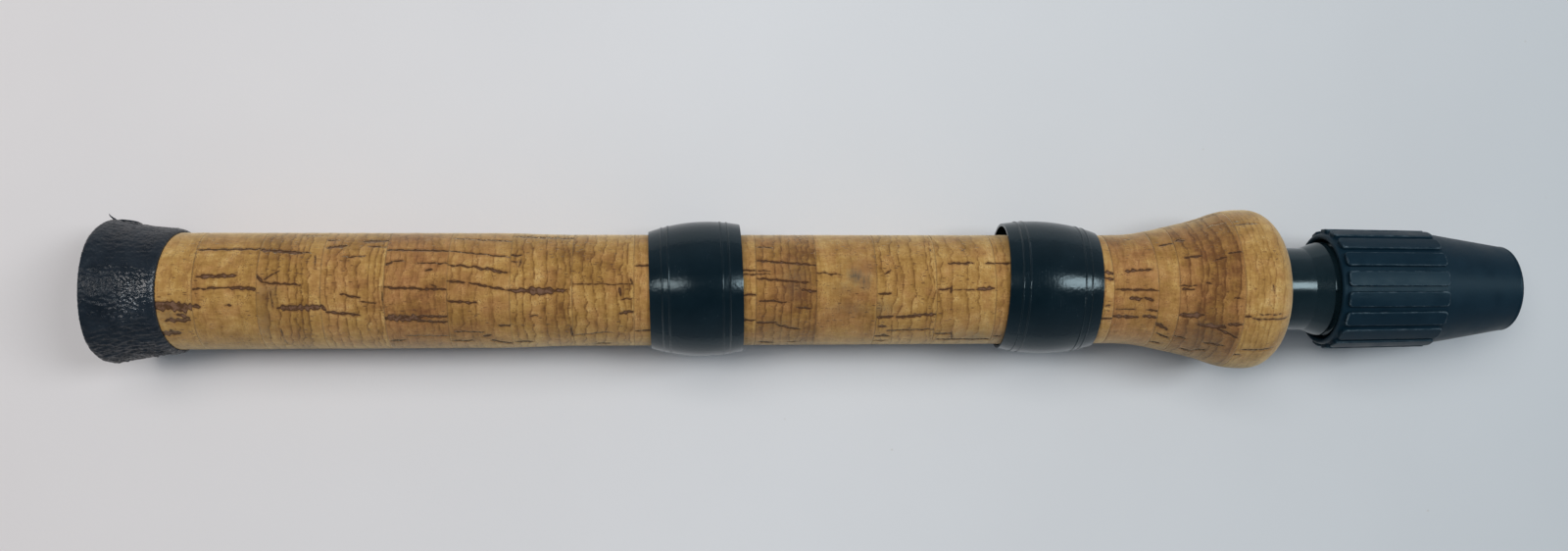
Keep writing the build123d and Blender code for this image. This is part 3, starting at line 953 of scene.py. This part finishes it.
def torn_flash(material):
    """The thin tongue of torn rubber that stands up from the cap's rim, and the strip it tore from."""
    rng = random.Random(SEED)
    for number, strip in enumerate((TORN_TONGUE, TORN_STRIP), start=1):
        centres = [Vector((BUTT_X / MM + d, out, 0.4 * rng.random())) for d, out, _ in strip]
        points = []
        for k, (centre, (_, _, half)) in enumerate(zip(centres, strip)):
            ahead = centres[min(k + 1, len(centres) - 1)] - centres[max(k - 1, 0)]
            side = Vector((-ahead.y, ahead.x, 0)).normalized()
            for step in range(FLASH_SIDES):
                turn = 2 * math.pi * step / FLASH_SIDES
                width = half * (1.5 + 0.4 * rng.random())
                point = centre + side * half * math.cos(turn) + Vector((0, 0, width * math.sin(turn)))
                points.append(tuple(point * MM))
        faces = [tuple(reversed(face)) for face in loop_faces(len(strip), FLASH_SIDES)]
        end = (len(strip) - 1) * FLASH_SIDES
        faces.append(tuple(range(FLASH_SIDES)))
        faces.append(tuple(end + step for step in reversed(range(FLASH_SIDES))))
        piece = mesh_object(f"torn_flash_{number}", points, faces, material, "grip")
        store(piece, "crease", np.full(len(points), 0.2))
        modifier = piece.modifiers.new("soften", "SUBSURF")
        modifier.levels = modifier.render_levels = 2


# ---------------------------------------------------------------- stage

# X and depth below the axis of the two places that the handle rests on
CAP_RIM = (BUTT_X + 2.0 * MM, 0.0150)
FLARE = (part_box("cork_ring_21")[0].x + 5.3 * MM, -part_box("cork_ring_21")[0].z)
FLOOR_SIZE = 3.0
FLOOR_GAP = 0.0001


def make_floor(material):
    """Pale surface that the handle rests on, touching both the cap's rim and the foregrip."""
    slope = (FLARE[1] - CAP_RIM[1]) / (FLARE[0] - CAP_RIM[0])
    mesh = bpy.data.meshes.new("floor")
    half = FLOOR_SIZE / 2
    corners = [(-half, -half), (half, -half), (half, half), (-half, half)]
    middle = (CAP_RIM[0] + FLARE[0]) / 2
    height = -(CAP_RIM[1] + FLARE[1]) / 2 - FLOOR_GAP
    points = [(middle + x, y, height - slope * x) for x, y in corners]
    mesh.from_pydata(points, [], [(0, 1, 2, 3)])
    mesh.materials.append(material)
    floor = bpy.data.objects.new("floor", mesh)
    bpy.context.scene.collection.objects.link(floor)


def lamp(name, centre, lean_x, lean_y, distance, size, power, colour):
    """Rectangular lamp over a point, leaning this many degrees from the vertical towards +X and +Y."""
    data = bpy.data.lights.new(name, "AREA")
    data.shape = "RECTANGLE"
    data.size, data.size_y = size
    data.energy = power
    data.color = colour
    away = Vector((math.tan(math.radians(lean_x)), math.tan(math.radians(lean_y)), 1)).normalized()
    light = bpy.data.objects.new(name, data)
    across = Vector((0, 1, 0)).cross(away).normalized()
    facing = Matrix((across, away.cross(across), away)).transposed().to_4x4()
    light.matrix_world = Matrix.Translation(Vector(centre) + away * distance) @ facing
    bpy.context.scene.collection.objects.link(light)
    return light


def make_lights():
    """A broad fill lamp that glossy parts don't reflect, and two whose reflections show in them."""
    middle = ((cad_low.x + cad_high.x) / 2, 0, 0)
    rear_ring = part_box("reel_ring_rear")[0]
    front_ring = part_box("reel_ring_front")[1]
    fill = lamp("fill_lamp", middle, -13, 19, 1.0, (0.62, 0.5), 4.6, (1.0, 0.965, 0.935))
    fill.visible_glossy = False
    lamp("right_lamp", (front_ring.x, 0, 0), 32, 12, 1.5, (0.66, 0.4), 8.8, (0.93, 0.97, 1.0))
    lamp("left_lamp", (rear_ring.x, 0, 0), -24, 11, 1.4, (0.46, 0.3), 3.1, (1.0, 0.97, 0.95))
    world = bpy.data.worlds.new("pale_room")
    world.use_nodes = True
    nodes, links = world.node_tree.nodes, world.node_tree.links
    direction = nodes.new("ShaderNodeTexCoord").outputs["Generated"]
    height = nodes.new("ShaderNodeSeparateXYZ")
    links.new(direction, height.inputs[0])
    sky = nodes.new("ShaderNodeValToRGB")
    sky.color_ramp.elements[0].color = (0.34, 0.37, 0.41, 1.0)
    sky.color_ramp.elements[1].color = (0.06, 0.085, 0.105, 1.0)
    sky.color_ramp.elements[1].position = 0.9
    links.new(height.outputs["Z"], sky.inputs["Fac"])
    links.new(sky.outputs["Color"], nodes["Background"].inputs["Color"])
    bpy.context.scene.world = world


CAMERA_PLACE = Vector((-0.18578, 0.0120, 0.31395))
CAMERA_TURN = (-0.0281988, -0.0781913, 0.00098575)  # about its own X after Y, then the roll
CAMERA_LENS = 33.37


def make_camera():
    """Camera above the handle, a little towards the butt from its middle."""
    data = bpy.data.cameras.new("camera")
    data.lens = CAMERA_LENS
    data.sensor_width = 36.0
    camera = bpy.data.objects.new("camera", data)
    pitch, yaw, roll = CAMERA_TURN
    turn = Matrix.Rotation(yaw, 4, "Y") @ Matrix.Rotation(pitch, 4, "X") @ Matrix.Rotation(roll, 4, "Z")
    camera.matrix_world = Matrix.Translation(CAMERA_PLACE) @ turn
    bpy.context.scene.collection.objects.link(camera)
    bpy.context.scene.camera = camera


# ---------------------------------------------------------------- put it together

bpy.context.scene.view_settings.view_transform = "Standard"

cork = cork_material()
for ring_number in range(1, CORK_RINGS + 1):
    cork_ring(ring_number, cork)

rubber = rubber_material()
butt_cap(rubber)
torn_flash(rubber)

CAD_MATERIALS = {
    "core_tube": tube_material(),
    "reel_ring_rear": ring_material(),
    "reel_ring_front": ring_material(),
    "chuck_body": neck_material(),
    "collet": collet_material(),
    "chuck_nut": nut_material(),
}
for node_name, node_material in CAD_MATERIALS.items():
    for material_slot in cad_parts[node_name].material_slots:
        material_slot.material = node_material

make_floor(floor_material())
make_lights()
make_camera()
